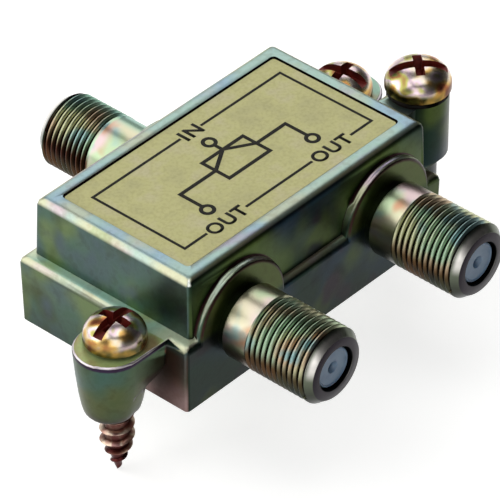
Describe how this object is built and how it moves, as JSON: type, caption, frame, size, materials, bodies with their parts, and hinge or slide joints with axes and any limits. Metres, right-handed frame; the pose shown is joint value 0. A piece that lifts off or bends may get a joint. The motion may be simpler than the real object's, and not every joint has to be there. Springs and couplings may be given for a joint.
{
  "type": "rf power splitter",
  "caption": "Die-cast two-way coaxial signal splitter with threaded ports, screw ears, a ground post and its ferrite circuit inside.",
  "frame": {"origin": "middle of the base cover's outer face, which is the face that lies on the wall", "axes": "+X along the long side of the body, from the left ear to the ground post; +Y towards the input port; +Z away from the wall, out of the label"},
  "size_m": [0.0626, 0.0538, 0.0292],
  "materials": {
    "casting": "zinc die casting with an iridescent yellow chromate",
    "cover": "pressed sheet, chromated",
    "label": "matt khaki anodised plate with a black line",
    "insulator": "moulded, semi-matt",
    "contact": "turned and tin flashed",
    "board": "phenolic paper laminate",
    "ferrite": "sintered, matt",
    "red_wire": "enamelled copper wire",
    "green_wire": "enamelled copper wire",
    "resistor": "lacquered",
    "capacitor": "dipped ceramic",
    "screw": "steel, yellow chromate"
  },
  "bodies": {
    "root": {"housing": "casting", "base_cover": "cover", "label_plate": "label", "input_insulator": "insulator", "left_output_insulator": "insulator", "right_output_insulator": "insulator", "input_contact": "contact", "left_output_contact": "contact", "right_output_contact": "contact", "circuit_board": "board", "matching_core": "ferrite", "splitting_core": "ferrite", "matching_winding": "red_wire", "splitting_winding": "green_wire", "isolation_resistor": "resistor", "input_capacitor": "capacitor", "balance_capacitor": "capacitor", "left_mounting_screw": "screw", "right_mounting_screw": "screw", "ground_screw": "screw"}
  },
  "joints": []
}
